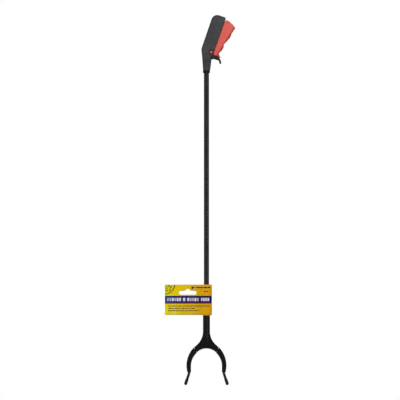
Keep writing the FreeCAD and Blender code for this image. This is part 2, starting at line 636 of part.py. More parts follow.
def arm_right():
    thick = arm_band(-ARM_HALF, ARM_HALF)
    thick = thick.cut(disc(JAW_PIVOT_X, JAW_PIVOT_Z, ARM_START_R, -PAST, PAST))
    thick = thick.makeFillet(ARM_EDGE_ROUND, [edge for edge in flat_rims(thick) if edge.Length > 3.0])
    tongue = plate([(JAW_PIVOT_X - 2.0, 103.0, 2.0), (15.0, 103.0, 3.0), (17.8, 101.0, 2.0),
                    (30.6, 88.4, 0), (26.0, 81.6, 0), (5.8, 93.6, 2.0)], -TONGUE_HALF, TONGUE_HALF)
    lobes = [disc(JAW_PIVOT_X, JAW_PIVOT_Z, 5.0, -TONGUE_HALF, TONGUE_HALF),
             disc(DRIVE_X, DRIVE_Z, 3.1, -TONGUE_HALF, TONGUE_HALF)]
    arm = join([thick, tongue] + lobes)
    arm = arm.cut(disc(JAW_PIVOT_X, JAW_PIVOT_Z, JAW_PIN_R + RUN, -PAST, PAST))
    arm = arm.cut(pin_slot(JAW_PIVOT_X, JAW_PIVOT_Z, DRIVE_X, DRIVE_Z, DRIVE_PIN_R + SLOT_GAP))
    return arm.cut(tip_plug(CLEAR))


def tip_placed(shape):
    """Move a shape drawn along -Z from the origin to the arm's end, leaning outwards."""
    shape.rotate(V(0, 0, 0), V(0, 1, 0), -math.degrees(TIP_LEAN))
    shape.translate(V(TIP_TOP_X, 0, TIP_TOP_Z))
    return shape


def tip_plug(extra):
    """The tongue of the tip that is bonded into the arm's end."""
    half_x, half_y = 1.5 + extra, 4.0 + extra
    return tip_placed(block((-half_x, half_x), (-half_y, half_y), (-2.0, 10.0 + extra)))


def tip_right():
    blade = plate([(-TIP_BLADE, 1.4, 0.8), (TIP_BLADE, 3.4, 0.8), (TIP_BLADE, -16.0, 1.0),
                   (-TIP_BLADE, -16.0, 1.0)], -TIP_HALF, TIP_HALF)
    pad = plate([(-TIP_PAD, -15.2, 1.2), (TIP_PAD, -15.2, 1.2), (TIP_PAD, -TIP_LENGTH, 0),
                 (-TIP_PAD, -TIP_LENGTH, 0)], -TIP_HALF, TIP_HALF)
    tip = join([blade, pad, disc(0, -TIP_LENGTH, TIP_PAD, -TIP_HALF, TIP_HALF)])
    for i in range(4):             # grooves that grip, on the pad and on the blade above it
        tip = tip.cut(disc(-TIP_PAD - 0.1, -17.6 - 2.6 * i, 0.75, -PAST, PAST))
        tip = tip.cut(disc(-TIP_BLADE - 0.1, -2.5 - 3.0 * i, 0.6, -PAST, PAST))
    return join([tip_placed(tip), tip_plug(0.0)])


ARM_RIGHT = arm_right()
TIP_RIGHT = tip_right().cut(ARM_RIGHT)
save("jaw_arm_right", ARM_RIGHT)
save("jaw_arm_left", mirrored(ARM_RIGHT))
save("jaw_tip_right", TIP_RIGHT)
save("jaw_tip_left", mirrored(TIP_RIGHT))


# ---- header card ------------------------------------------------------------------------------------
CARD_LEFT = -102.7
CARD_LOW = 173.2
CARD_HIGH = 248.4
CARD_JOIN = -28.0             # where the two layers part to pass round the tube
CARD_THICK = 0.5
CARD_LOOP_R = 8.9
CARD_LOOP_X = 4.0
HANG_SLOT = [                 # outline of the hang slot, with the corners' radii
    (-67.9, 223.6, 4.4), (-67.9, 232.8, 4.4), (-52.5, 232.8, 2.0), (-50.0, 237.6, 3.0),
    (-42.2, 237.6, 3.0), (-39.7, 232.8, 2.0), (-24.4, 232.8, 4.4), (-24.4, 223.6, 4.4),
]


def card_loop(radius, join_x):
    """Half of the loop's outline seen from above: a line tangent to the tube's side, then an arc, a short
    flat and another arc to the fold."""
    lean = math.asin(radius / -join_x)
    touch = V(-radius * math.sin(lean), -radius * math.cos(lean), 0)
    top = V(0, -radius, 0)
    swing = V(-radius * math.sin(lean / 2), -radius * math.cos(lean / 2), 0)
    corner = V(CARD_LOOP_X, -radius, 0)
    nose = V(CARD_LOOP_X + radius, 0, 0)
    bend = V(CARD_LOOP_X + radius * math.sqrt(0.5), -radius * math.sqrt(0.5), 0)
    edges = [Part.LineSegment(V(join_x, 0, 0), touch).toShape(), Part.Arc(touch, swing, top).toShape(),
             Part.LineSegment(top, corner).toShape(), Part.Arc(corner, bend, nose).toShape()]
    return edges


def card_region(radius, join_x):
    half = card_loop(radius, join_x)
    other = [edge.mirror(V(0, 0, 0), V(0, 1, 0)) for edge in half]
    wire = Part.Wire(Part.__sortEdges__(half + other))
    face = Part.Face(wire)
    face.translate(V(0, 0, CARD_LOW))
    return face.extrude(V(0, 0, CARD_HIGH - CARD_LOW))


def header_card():
    flat = block((CARD_LEFT, CARD_JOIN + 2), (-CARD_THICK, CARD_THICK), (CARD_LOW, CARD_HIGH))
    card = join([flat, card_region(CARD_LOOP_R + CARD_THICK, CARD_JOIN - 1.6)])
    card = card.cut(card_region(CARD_LOOP_R, CARD_JOIN))
    return card.cut(plate(HANG_SLOT, -PAST, PAST))


save("header_card", header_card())
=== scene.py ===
import json
import math
import random

import bmesh
import bpy
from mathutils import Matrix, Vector

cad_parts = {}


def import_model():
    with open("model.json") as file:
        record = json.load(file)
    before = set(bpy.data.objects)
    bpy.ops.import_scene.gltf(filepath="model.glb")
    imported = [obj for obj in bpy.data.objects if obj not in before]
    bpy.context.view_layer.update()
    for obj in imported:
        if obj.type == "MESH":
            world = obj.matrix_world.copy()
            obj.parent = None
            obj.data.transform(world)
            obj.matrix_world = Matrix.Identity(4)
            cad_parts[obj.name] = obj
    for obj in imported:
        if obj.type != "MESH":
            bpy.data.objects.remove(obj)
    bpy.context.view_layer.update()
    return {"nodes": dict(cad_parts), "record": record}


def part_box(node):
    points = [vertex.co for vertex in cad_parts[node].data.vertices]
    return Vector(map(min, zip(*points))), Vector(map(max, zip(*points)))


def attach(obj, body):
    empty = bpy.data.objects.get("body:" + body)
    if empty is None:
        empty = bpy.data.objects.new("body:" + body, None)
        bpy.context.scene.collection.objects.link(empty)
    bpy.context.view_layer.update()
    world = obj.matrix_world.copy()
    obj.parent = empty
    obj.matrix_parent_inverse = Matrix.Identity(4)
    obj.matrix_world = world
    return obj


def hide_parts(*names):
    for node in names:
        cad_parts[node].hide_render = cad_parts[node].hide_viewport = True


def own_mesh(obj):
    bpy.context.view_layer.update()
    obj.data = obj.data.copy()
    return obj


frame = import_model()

MM = 0.001


# ---- node helpers ---------------------------------------------------------------------------------------
def node(tree, kind, **settings):
    """A shader node.  Settings name its properties, or its inputs by name with spaces as underscores."""
    made = tree.nodes.new(kind)
    for key, value in settings.items():
        if hasattr(made, key):
            setattr(made, key, value)
        else:
            made.inputs[key.replace("_", " ")].default_value = value
    return made


def link(tree, source, target):
    tree.links.new(source, target)


def new_material(name):
    material = bpy.data.materials.new(name)
    material.use_nodes = True
    tree = material.node_tree
    return material, tree, tree.nodes["Principled BSDF"]


def colour4(rgb):
    return (rgb[0], rgb[1], rgb[2], 1.0)


def object_point(tree):
    return tree.nodes.new("ShaderNodeTexCoord").outputs["Object"]


def noise(tree, point, scale, detail=3.0, roughness=0.55, stretch=None):
    if stretch is not None:
        mapping = node(tree, "ShaderNodeMapping")
        mapping.inputs["Scale"].default_value = stretch
        link(tree, point, mapping.inputs["Vector"])
        point = mapping.outputs["Vector"]
    made = node(tree, "ShaderNodeTexNoise", Scale=scale, Detail=detail, Roughness=roughness)
    link(tree, point, made.inputs["Vector"])
    return made.outputs["Fac"]


def ramp(tree, value, low, high, out_low=0.0, out_high=1.0):
    made = node(tree, "ShaderNodeMapRange")
    made.inputs["From Min"].default_value = low
    made.inputs["From Max"].default_value = high
    made.inputs["To Min"].default_value = out_low
    made.inputs["To Max"].default_value = out_high
    link(tree, value, made.inputs["Value"])
    return made.outputs["Result"]


def mix(tree, factor, first, second):
    """Mixes two colours, each a tuple or a socket."""
    made = tree.nodes.new("ShaderNodeMix")
    made.data_type = "RGBA"
    link(tree, factor, made.inputs["Factor"])
    for socket, value in ((made.inputs[6], first), (made.inputs[7], second)):
        if isinstance(value, tuple):
            socket.default_value = colour4(value)
        else:
            link(tree, value, socket)
    return made.outputs[2]


def math_node(tree, operation, first, second=None):
    made = node(tree, "ShaderNodeMath", operation=operation)
    for socket, value in zip(made.inputs, (first, second)):
        if value is None:
            continue
        if isinstance(value, (int, float)):
            socket.default_value = value
        else:
            link(tree, value, socket)
    return made.outputs[0]


def vector_node(tree, operation, socket, constant):
    """A vector sum of a socket and a constant."""
    made = node(tree, "ShaderNodeVectorMath", operation=operation)
    link(tree, socket, made.inputs[0])
    made.inputs[1].default_value = constant
    return made


def axes(tree, point):
    """The X, Y and Z of a point, each as a socket."""
    split = tree.nodes.new("ShaderNodeSeparateXYZ")
    link(tree, point, split.inputs[0])
    return split.outputs["X"], split.outputs["Y"], split.outputs["Z"]


def bump(tree, height, strength, distance):
    made = node(tree, "ShaderNodeBump")
    made.inputs["Strength"].default_value = strength
    made.inputs["Distance"].default_value = distance
    link(tree, height, made.inputs["Height"])
    return made.outputs["Normal"]


def edge_mask(tree, low=0.51, high=0.6):
    """Where the surface bends outwards: none below the low pointiness, all above the high one."""
    geometry = tree.nodes.new("ShaderNodeNewGeometry")
    return ramp(tree, geometry.outputs["Pointiness"], low, high)


# ---- mesh helpers ---------------------------------------------------------------------------------------
def to_object(mesh, name):
    data = bpy.data.meshes.new(name)
    mesh.to_mesh(data)
    mesh.free()
    made = bpy.data.objects.new(name, data)
    bpy.context.scene.collection.objects.link(made)
    return made


def apply_modifiers(obj):
    graph = bpy.context.evaluated_depsgraph_get()
    baked = bpy.data.meshes.new_from_object(obj.evaluated_get(graph))
    obj.modifiers.clear()
    obj.data = baked


# ---- materials ------------------------------------------------------------------------------------------
PIVOT = next(joint["pos_m"] for joint in frame["record"]["behaviour"]["joints"]
             if joint["name"] == "trigger_squeeze")
GRIP_TILT = 19.4              # degrees that the grip leans from the vertical
FINGER_LINE_LEAN = 13.2       # degrees that the trigger's front edge leans further than the grip
FINGER_LINE_REACH = 0.018     # from the pivot to that edge
EDGE_SHADE_STARTS = -0.005         # along that edge, painted shade starts this far from it and is full at the next
EDGE_SHADE_FULL = -0.0024
SEAM_HALF = 0.00012           # half of the seam's width, and the distance at which it has faded out
SEAM_FADED = 0.0003
SEAM_COLOUR = (0.004, 0.004, 0.004)
RING_FADE = 0.0006            # over which the shadow round a bearing fades out
RING_COLOUR = (0.006, 0.006, 0.006)


def finger_side(tree, point):
    """How far a point lies past the straight line that runs nearest to the trigger's front edge."""
    turn = math.radians(GRIP_TILT + FINGER_LINE_LEAN)
    from_pivot = vector_node(tree, "SUBTRACT", point, PIVOT)
    across = (math.cos(turn), 0.0, -math.sin(turn))
    reach = vector_node(tree, "DOT_PRODUCT", from_pivot.outputs[0], across)
    return math_node(tree, "SUBTRACT", reach.outputs["Value"], FINGER_LINE_REACH)


# Painted shade: darkens the trigger's rounded finger edge, where its side turns away from the light, in
# uneven patches.
def with_painted_edge_shade(tree, point, body, mottle, colour):
    past = ramp(tree, finger_side(tree, point), EDGE_SHADE_STARTS, EDGE_SHADE_FULL)
    patchy = ramp(tree, mottle, 0.3, 0.6, 0.65, 0.95)
    return mix(tree, math_node(tree, "MULTIPLY", past, patchy), body, colour)


def with_seam(tree, point, body, height):
    """The fine line where two halves meet on the middle plane: darker, and a groove in the height."""
    away = math_node(tree, "ABSOLUTE", axes(tree, point)[1])
    line = ramp(tree, away, SEAM_HALF, SEAM_FADED, 1.0, 0.0)
    body = mix(tree, math_node(tree, "MULTIPLY", line, 0.6), body, SEAM_COLOUR)
    return body, math_node(tree, "SUBTRACT", height, math_node(tree, "MULTIPLY", line, 2.0))


def with_ring(tree, point, body, centre, radius):
    """The shadow in the gap round a bearing, seen from either side."""
    x, _, z = axes(tree, point)
    flat = node(tree, "ShaderNodeCombineXYZ")
    link(tree, x, flat.inputs["X"])
    link(tree, z, flat.inputs["Z"])
    reach = vector_node(tree, "DISTANCE", flat.outputs[0], (centre[0], 0.0, centre[2]))
    inside = ramp(tree, reach.outputs["Value"], radius, radius + RING_FADE, 0.85, 0.0)
    return mix(tree, inside, body, RING_COLOUR)


def moulded(name, dark, light, worn, grain=1400.0, depth=0.00008, rough=(0.42, 0.6), specular=0.35,
            seam=False, shadow_ring=None, edge_shade=None):
    """Moulded plastic: mottled colour, a fine spark-eroded grain, and edges rubbed paler.  shadow_ring is
    the centre and radius of a bearing, and edge_shade the colour of painted shade along the trigger's
    finger edge."""
    material, tree, shader = new_material(name)
    point = object_point(tree)
    mottle = noise(tree, point, 38.0, 4.0)
    fine = noise(tree, point, grain, 2.0, 0.7)
    coarse = noise(tree, point, grain / 3.5, 2.0)
    smudge = noise(tree, point, 14.0, 3.0)
    body = mix(tree, ramp(tree, mottle, 0.3, 0.7), dark, light)
    speck = ramp(tree, fine, 0.35, 0.75, 0.0, 0.35)
    body = mix(tree, speck, body, light)
    rubbed = math_node(tree, "MULTIPLY", edge_mask(tree), ramp(tree, mottle, 0.42, 0.62, 0.15, 0.5))
    body = mix(tree, rubbed, body, worn)
    height = math_node(tree, "ADD", fine, coarse)
    # painted shade along the trigger's finger edge
    if edge_shade is not None:
        body = with_painted_edge_shade(tree, point, body, mottle, edge_shade)
    if seam:
        body, height = with_seam(tree, point, body, height)
    if shadow_ring is not None:
        body = with_ring(tree, point, body, *shadow_ring)
    link(tree, body, shader.inputs["Base Color"])
    roughness = math_node(tree, "ADD", ramp(tree, coarse, 0.3, 0.7, rough[0], rough[1]),
                          ramp(tree, smudge, 0.4, 0.65, -0.04, 0.04))
    link(tree, roughness, shader.inputs["Roughness"])
    shader.inputs["Specular IOR Level"].default_value = specular
    link(tree, bump(tree, height, 0.55, depth), shader.inputs["Normal"])
    return material


def coated_tube(name, dark, light):
    """Black powder coat on a drawn tube: orange peel, faint draw lines and a few dulled patches."""
    material, tree, shader = new_material(name)
    point = object_point(tree)
    peel = noise(tree, point, 900.0, 2.0)
    lines = noise(tree, point, 60.0, 3.0, 0.6, stretch=(14.0, 14.0, 0.25))
    patches = noise(tree, point, 9.0, 3.0)
    tone = math_node(tree, "MULTIPLY", lines, patches)
    link(tree, mix(tree, ramp(tree, tone, 0.15, 0.4), dark, light), shader.inputs["Base Color"])
    link(tree, ramp(tree, patches, 0.3, 0.7, 0.22, 0.3), shader.inputs["Roughness"])
    shader.inputs["Specular IOR Level"].default_value = 0.5
    link(tree, bump(tree, peel, 0.25, 0.000008), shader.inputs["Normal"])
    return material


def bright_steel(name, dark, light, along=(1.0, 1.0, 30.0)):
    """Bare or plated steel.  along says how fine the scratches are on each axis.  As a rule they run round
    the rod."""
    material, tree, shader = new_material(name)
    point = object_point(tree)
    scratches = noise(tree, point, 80.0, 3.0, 0.6, stretch=along)
    blotches = noise(tree, point, 160.0, 2.0)
    link(tree, mix(tree, ramp(tree, blotches, 0.3, 0.7), dark, light), shader.inputs["Base Color"])
    link(tree, ramp(tree, scratches, 0.3, 0.7, 0.22, 0.42), shader.inputs["Roughness"])
    shader.inputs["Metallic"].default_value = 1.0
    link(tree, bump(tree, scratches, 0.2, 0.00004), shader.inputs["Normal"])
    return material


def rubber(name, dark, light):
    """Matt rubber with fine pores, pale on its edges and where it has bloomed."""
    material, tree, shader = new_material(name)
    point = object_point(tree)
    bloom = noise(tree, point, 70.0, 4.0)
    pores = noise(tree, point, 1800.0, 2.0)
    body = mix(tree, ramp(tree, bloom, 0.35, 0.7), dark, light)
    link(tree, mix(tree, edge_mask(tree, 0.52, 0.64), body, light), shader.inputs["Base Color"])
    link(tree, ramp(tree, bloom, 0.3, 0.7, 0.55, 0.75), shader.inputs["Roughness"])
    shader.inputs["Specular IOR Level"].default_value = 0.15
    link(tree, bump(tree, pores, 0.4, 0.00005), shader.inputs["Normal"])
    return material


def ring_arc(tree, point, centre, radii, angles):
    """A mask of one arc about a point of the card, from angles in degrees; radii in millimetres."""
    offset = vector_node(tree, "SUBTRACT", point, centre)
    across, _, up = axes(tree, offset.outputs[0])
    squares = math_node(tree, "ADD", math_node(tree, "MULTIPLY", across, across),
                        math_node(tree, "MULTIPLY", up, up))
    reach = math_node(tree, "SQRT", squares)
    turn = math_node(tree, "ARCTAN2", up, across)
    limits = (("GREATER_THAN", reach, radii[0] * MM), ("LESS_THAN", reach, radii[1] * MM),
              ("GREATER_THAN", turn, math.radians(angles[0])), ("LESS_THAN", turn, math.radians(angles[1])))
    mask = math_node(tree, *limits[0])
    for limit in limits[1:]:
        mask = math_node(tree, "MULTIPLY", mask, math_node(tree, *limit))
    return mask


BADGE_ARCS = [                # printed about the card's corner: radii in millimetres, angles in degrees
    ((8.0, 12.4), (-36.0, -10.0)),
    ((8.0, 12.4), (-80.0, -52.0)),
    ((4.2, 6.2), (-80.0, -10.0)),
    ((13.8, 18.2), (-38.0, -14.0)),
    ((13.8, 18.2), (-86.0, -64.0)),
    ((16.6, 21.0), (-58.0, -40.0)),
    ((22.4, 25.6), (-88.0, -2.0)),
]
STREAK_CLEAR = 0.001          # a painted highlight up the card is full this far from its middle, and gone at the next distance
STREAK_GONE = 0.0038
STREAK_FULL_Z = 0.198         # it is full below this height, and gone above the next
STREAK_GONE_Z = 0.203
HIGHLIGHT_STREAK_COLOUR = (0.62, 0.62, 0.36)


def card_ink(name, colour, gradient=None, badge=None, highlight_streak=None):
    """Printed, satin-varnished board.  gradient gives three (x, colour) stops from left to right, badge the
    corner and ink of the broken rings, and highlight_streak the x of a painted highlight, a pale reflection
    up the card."""
    material, tree, shader = new_material(name)
    point = object_point(tree)
    fibres = noise(tree, point, 420.0, 4.0, 0.6, stretch=(1.0, 1.0, 0.35))
    cloud = noise(tree, point, 24.0, 3.0)
    base = colour
    point_x, _, point_z = axes(tree, point)
    if gradient is not None:
        (x0, c0), (x1, c1), (x2, c2) = gradient
        wander = math_node(tree, "MULTIPLY", math_node(tree, "SUBTRACT", cloud, 0.5), 0.05)
        across = math_node(tree, "ADD", point_x, wander)
        base = mix(tree, ramp(tree, across, x0, x1), c0, c1)
        base = mix(tree, ramp(tree, across, x1, x2), base, c2)
    shade = tuple(channel * 0.84 for channel in colour)
    base = mix(tree, ramp(tree, fibres, 0.45, 0.75, 0.0, 0.35), base, shade)
    if badge is not None:
        centre, ring_ink = badge
        for radii, angles in BADGE_ARCS:
            arc = ring_arc(tree, point, centre, radii, angles)
            worn = math_node(tree, "MULTIPLY", arc, ramp(tree, cloud, 0.3, 0.6, 0.5, 0.9))
            base = mix(tree, worn, base, ring_ink)
    # Painted highlight: a pale streak of reflection runs up the card at this x, and fades out above a set
    # height.
    if highlight_streak is not None:
        away = math_node(tree, "ABSOLUTE", math_node(tree, "SUBTRACT", point_x, highlight_streak))
        near = ramp(tree, away, STREAK_CLEAR, STREAK_GONE, 0.42, 0.0)
        low = ramp(tree, point_z, STREAK_FULL_Z, STREAK_GONE_Z, 1.0, 0.0)
        pale = math_node(tree, "MULTIPLY", math_node(tree, "MULTIPLY", near, low),
                         ramp(tree, fibres, 0.3, 0.7, 0.7, 1.0))
        base = mix(tree, pale, base, HIGHLIGHT_STREAK_COLOUR)
    link(tree, base, shader.inputs["Base Color"])
    link(tree, ramp(tree, cloud, 0.3, 0.7, 0.46, 0.58), shader.inputs["Roughness"])
    shader.inputs["Specular IOR Level"].default_value = 0.04
    link(tree, bump(tree, fibres, 0.25, 0.00003), shader.inputs["Normal"])
    return material


HOUSING = moulded("housing_grain", (0.0175, 0.0175, 0.019), (0.028, 0.028, 0.0305), (0.045, 0.045, 0.05),
                  depth=0.0001, rough=(0.52, 0.68), specular=0.28, seam=True, shadow_ring=(PIVOT, 0.0062))
# The trigger carries painted shade along its finger edge.
TRIGGER = moulded("trigger_red", (0.50, 0.066, 0.048), (0.58, 0.09, 0.067), (0.68, 0.14, 0.11),
                  grain=1100.0, depth=0.00004, rough=(0.42, 0.56), specular=0.22, edge_shade=(0.3, 0.02, 0.014))
LEVER = moulded("lever_black", (0.003, 0.003, 0.0035), (0.006, 0.006, 0.007), (0.018, 0.018, 0.019),
                rough=(0.42, 0.55), specular=0.12)
YOKE = moulded("yoke_black", (0.002, 0.002, 0.0025), (0.0045, 0.005, 0.0055), (0.014, 0.015, 0.016),
               depth=0.00002, rough=(0.2, 0.3), specular=0.2, seam=True)
ARM = moulded("arm_black", (0.0025, 0.003, 0.0035), (0.006, 0.0065, 0.007), (0.016, 0.017, 0.018),
              depth=0.00002, rough=(0.24, 0.34), specular=0.14)
NYLON = moulded("natural_nylon", (0.62, 0.6, 0.54), (0.72, 0.7, 0.64), (0.8, 0.79, 0.75), depth=0.00003)
TUBE = coated_tube("tube_powder_coat", (0.003, 0.003, 0.0035), (0.007, 0.007, 0.008))
STEEL = bright_steel("drawn_steel", (0.42, 0.42, 0.42), (0.6, 0.6, 0.6))
ZINC = bright_steel("zinc_plate", (0.45, 0.46, 0.48), (0.68, 0.69, 0.7), along=(1.0, 1.0, 1.0))
BLACKED = bright_steel("blackened_steel", (0.012, 0.012, 0.013), (0.03, 0.03, 0.032), along=(1.0, 1.0, 1.0))
RUBBER = rubber("tip_rubber", (0.003, 0.003, 0.003), (0.009, 0.009, 0.01))

SLOT_LOOKS = {
    "housing_plastic": HOUSING,
    "trigger_plastic": TRIGGER,
    "lever_plastic": LEVER,
    "yoke_plastic": YOKE,
    "inner_plastic": NYLON,
    "tube_coating": TUBE,
    "rod_steel": STEEL,
    "screw_steel": ZINC,
    "tip_rubber": RUBBER,
}
NODE_LOOKS = {"jaw_arm_left": ARM, "jaw_arm_right": ARM, "lock_pivot_pin": BLACKED}


def dress_nodes():
    """Gives every CAD node the material of its record slot, apart from the few named in NODE_LOOKS.  The
    header card's node is left as it is, because the printed card takes its place."""
    for part in frame["record"]["subparts"]:
        look = NODE_LOOKS.get(part["node"], SLOT_LOOKS.get(part["material_slot"]))
        if look is None:
            continue
        shown = frame["nodes"][part["node"]]
        for holder in shown.material_slots:
            holder.material = look


dress_nodes()


# ---- header card ----------------------------------------------------------------------------------------
# Sizes here are in millimetres, in the record's frame.  Every block, bar and arc stands for print, and none
# of them is a letter or a figure.
CARD_LOW, CARD_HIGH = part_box("header_card")
LEFT = CARD_LOW[0] / MM + 0.05
RIGHT = CARD_HIGH[0] / MM
BOTTOM = CARD_LOW[2] / MM
TOP = CARD_HIGH[2] / MM
SHEET = 0.42                  # thickness of one layer of board
LOOP_HALF = CARD_HIGH[1] / MM - SHEET / 2
LAYER = 0.27                  # from the middle plane to each layer where the two lie together
JOIN = -31.0                  # where the layers part
LOOP_FULL = -2.5              # where they reach their full distance apart
FOLD_STEPS = 22
BOW_DEPTH = 0.9               # of the flat panel, as a card has once it has been handled
BOW_LENGTH = 70.0
SAG_DEPTH = 1.5               # of the front panel's foot where it wraps the tube
SAG_MIDDLE, SAG_WIDTH, SAG_HEIGHT = 1.0, 9.0, 12.0
COLUMN_STEP, ROW_STEP = 3.0, 5.0      # the mesh is no coarser than this
THINNEST_STRIP = 0.05

SLOT_LEFT, SLOT_RIGHT = -67.9, -24.4
SLOT_LOW, SLOT_HIGH = BOTTOM + 50.4, BOTTOM + 59.6
SLOT_BUMP_HALF, SLOT_BUMP_RISE = 8.0, 4.8
SLOT_ARC_STEPS, SLOT_BUMP_STEPS = 12, 16
CUTTER_HALF = 0.02            # metres, past both layers

BAND_LOW, BAND_HIGH = BOTTOM + 29.7, BOTTOM + 47.6
BAND_RIGHT = RIGHT - 0.5
STRIPE_LOW = BAND_LOW - 2.3
TITLE_LOW, TITLE_HIGH = BAND_LOW + 4.7, BAND_HIGH - 5.2
TITLE_GROUPS = [(-97.5, -61.5, 6), (-58.0, -51.0, 1), (-47.6, -17.5, 5), (-13.4, 7.6, 4)]
TITLE_GAP = 1.3
TEXT_LEFT = -94.5
TEXT_LINES = [(BOTTOM + 22.2, 8.0), (BOTTOM + 16.4, -25.8), (BOTTOM + 10.8, -18.9)]   # height, right end
TEXT_DROP, TEXT_RISE, TEXT_GAP = 1.25, 1.15, 1.1
SHORTEST_WORD, LONGEST_WORD, WORD_SPARE = 2.6, 8.0, 2.0
MARK_BLOCKS = [
    (-37.0, -33.2, TOP - 11.0, TOP - 5.0, "navy"),
    (-33.2, -30.8, TOP - 9.6, TOP - 4.4, "red"),
    (-30.8, -28.4, TOP - 8.2, TOP - 5.0, "line"),
]
MAKER_BARS = [(-26.4, -23.6), (-22.6, -16.5), (-15.4, -8.6), (-7.5, 1.4), (2.4, 8.6)]
MAKER_LOW, MAKER_HIGH = TOP - 8.8, TOP - 5.6
CODE_BARS = [(-6.2, -1.2), (-0.4, 4.0)]
CODE_LOW, CODE_HIGH = TOP - 18.4, TOP - 15.9
INKS = ["yellow", "navy", "white", "grey", "line", "text", "red", "core"]
PRINT_SEED = 5


def print_blocks():
    """Rectangles (x low, x high, z low, z high, ink) of the card's front print; later ones lie on top."""
    chance = random.Random(PRINT_SEED)
    blocks = [(LEFT, BAND_RIGHT, BAND_LOW, BAND_HIGH, "navy"),
              (LEFT, BAND_RIGHT, STRIPE_LOW, BAND_LOW, "line")]
    for start, end, count in TITLE_GROUPS:
        pitch = (end - start) / count
        for i in range(count):
            low, high = start + i * pitch, start + (i + 1) * pitch - TITLE_GAP
            blocks.append((low, high, TITLE_LOW, TITLE_HIGH, chance.choice(("white", "grey"))))
    for line_z, line_end in TEXT_LINES:
        x = TEXT_LEFT
        while x < line_end - WORD_SPARE:
            width = min(chance.uniform(SHORTEST_WORD, LONGEST_WORD), line_end - x)
            blocks.append((x, x + width, line_z - TEXT_DROP, line_z + TEXT_RISE, "text"))
            x += width + TEXT_GAP
    blocks += MARK_BLOCKS
    blocks += [(start, end, MAKER_LOW, MAKER_HIGH, "navy") for start, end in MAKER_BARS]
    blocks += [(start, end, CODE_LOW, CODE_HIGH, "text") for start, end in CODE_BARS]
    return blocks


def cuts(values, low, high, step):
    """Sorted grid lines from low to high through the given values, with none further apart than step."""
    kept = sorted([low, high] + [value for value in values if low < value < high])
    lines = [kept[0]]
    for value in kept[1:]:
        start = lines[-1]
        gap = value - start
        if gap < THINNEST_STRIP:
            continue
        parts = max(1, math.ceil(gap / step))
        lines += [start + gap * (i + 1) / parts for i in range(parts)]
    return lines


def within_one(share):
    return min(1.0, max(0.0, share))


def half_gap(x):
    """Distance of each layer from the middle plane: flat, then out round the tube."""
    share = within_one((x - JOIN) / (LOOP_FULL - JOIN))
    eased = share * share * (3.0 - 2.0 * share)
    return LAYER + (LOOP_HALF - LAYER) * eased


def bow(x):
    reach = within_one((JOIN - x) / BOW_LENGTH)
    return -BOW_DEPTH * math.sin(reach * math.pi) * reach


def sag(x, z):
    near = math.exp(-((x - SAG_MIDDLE) / SAG_WIDTH) ** 2)
    low = max(0.0, 1.0 - (z - BOTTOM) / SAG_HEIGHT)
    return -SAG_DEPTH * near * low


def card_path(fronts):
    """Points (x, y, side) from the front layer's left edge, round the fold, to the back's left edge."""
    turn = RIGHT - SHEET / 2 - LOOP_HALF
    path = [(x, -half_gap(x) + bow(x), "front") for x in fronts if x < turn]
    for i in range(FOLD_STEPS + 1):
        angle = math.pi * i / FOLD_STEPS
        side = "front" if i < FOLD_STEPS / 2 else "back"
        path.append((turn + LOOP_HALF * math.sin(angle), -LOOP_HALF * math.cos(angle), side))
    backs = cuts([], LEFT, turn - 1.0, COLUMN_STEP)
    path += [(x, half_gap(x) + bow(x), "back") for x in reversed(backs)]
    return path


def ink_at(blocks, x, z):
    found = "yellow"
    for x_low, x_high, z_low, z_high, ink in blocks:
        if x_low <= x <= x_high and z_low <= z <= z_high:
            found = ink
    return found


def slot_end(centre_x, centre_z, radius, start):
    """Half a circle of points, anticlockwise from the start angle."""
    angles = [start + math.pi * i / SLOT_ARC_STEPS for i in range(SLOT_ARC_STEPS + 1)]
    return [(centre_x + radius * math.cos(angle), centre_z + radius * math.sin(angle)) for angle in angles]


def hang_slot_cutter():
    """A prism with the outline of a shop hook's slot: a rounded bar with a bump in its middle."""
    radius = (SLOT_HIGH - SLOT_LOW) / 2
    middle = (SLOT_LEFT + SLOT_RIGHT) / 2
    points = slot_end(SLOT_LEFT + radius, SLOT_LOW + radius, radius, math.pi / 2)
    points += slot_end(SLOT_RIGHT - radius, SLOT_LOW + radius, radius, -math.pi / 2)
    for i in range(SLOT_BUMP_STEPS + 1):
        share = i / SLOT_BUMP_STEPS
        rise = SLOT_BUMP_RISE * math.sin(math.pi * share) ** 1.3
        points.append((middle + SLOT_BUMP_HALF - 2.0 * SLOT_BUMP_HALF * share, SLOT_HIGH + rise))
    mesh = bmesh.new()
    near = [mesh.verts.new((x * MM, -CUTTER_HALF, z * MM)) for x, z in points]
    far = [mesh.verts.new((x * MM, CUTTER_HALF, z * MM)) for x, z in points]
    count = len(points)
    mesh.faces.new(near)
    mesh.faces.new(list(reversed(far)))
    for i in range(count):
        after = (i + 1) % count
        mesh.faces.new((near[i], far[i], far[after], near[after]))
    bmesh.ops.recalc_face_normals(mesh, faces=mesh.faces)
    return to_object(mesh, "slot_cutter")


def show_core(card):
    """Gives the cut edges of the board their own, unprinted look.  The fold's faces turn sideways too, but
    they are right of the join."""
    for face in card.data.polygons:
        up_or_down = abs(face.normal.z) > 0.5
        left_of_join = face.center.x < JOIN * MM
        if abs(face.normal.y) < 0.3 and (up_or_down or left_of_join):
            face.material_index = INKS.index("core")


def ink_between(blocks, first, second, row_low, row_high):
    """The ink of the face between two points of the path and two rows.  The back has only the band."""
    middle_z = (row_low + row_high) / 2
    if first[2] == "front" and second[2] == "front":
        return ink_at(blocks, (first[0] + second[0]) / 2, middle_z)
    return "navy" if BAND_LOW < middle_z < BAND_HIGH else "yellow"


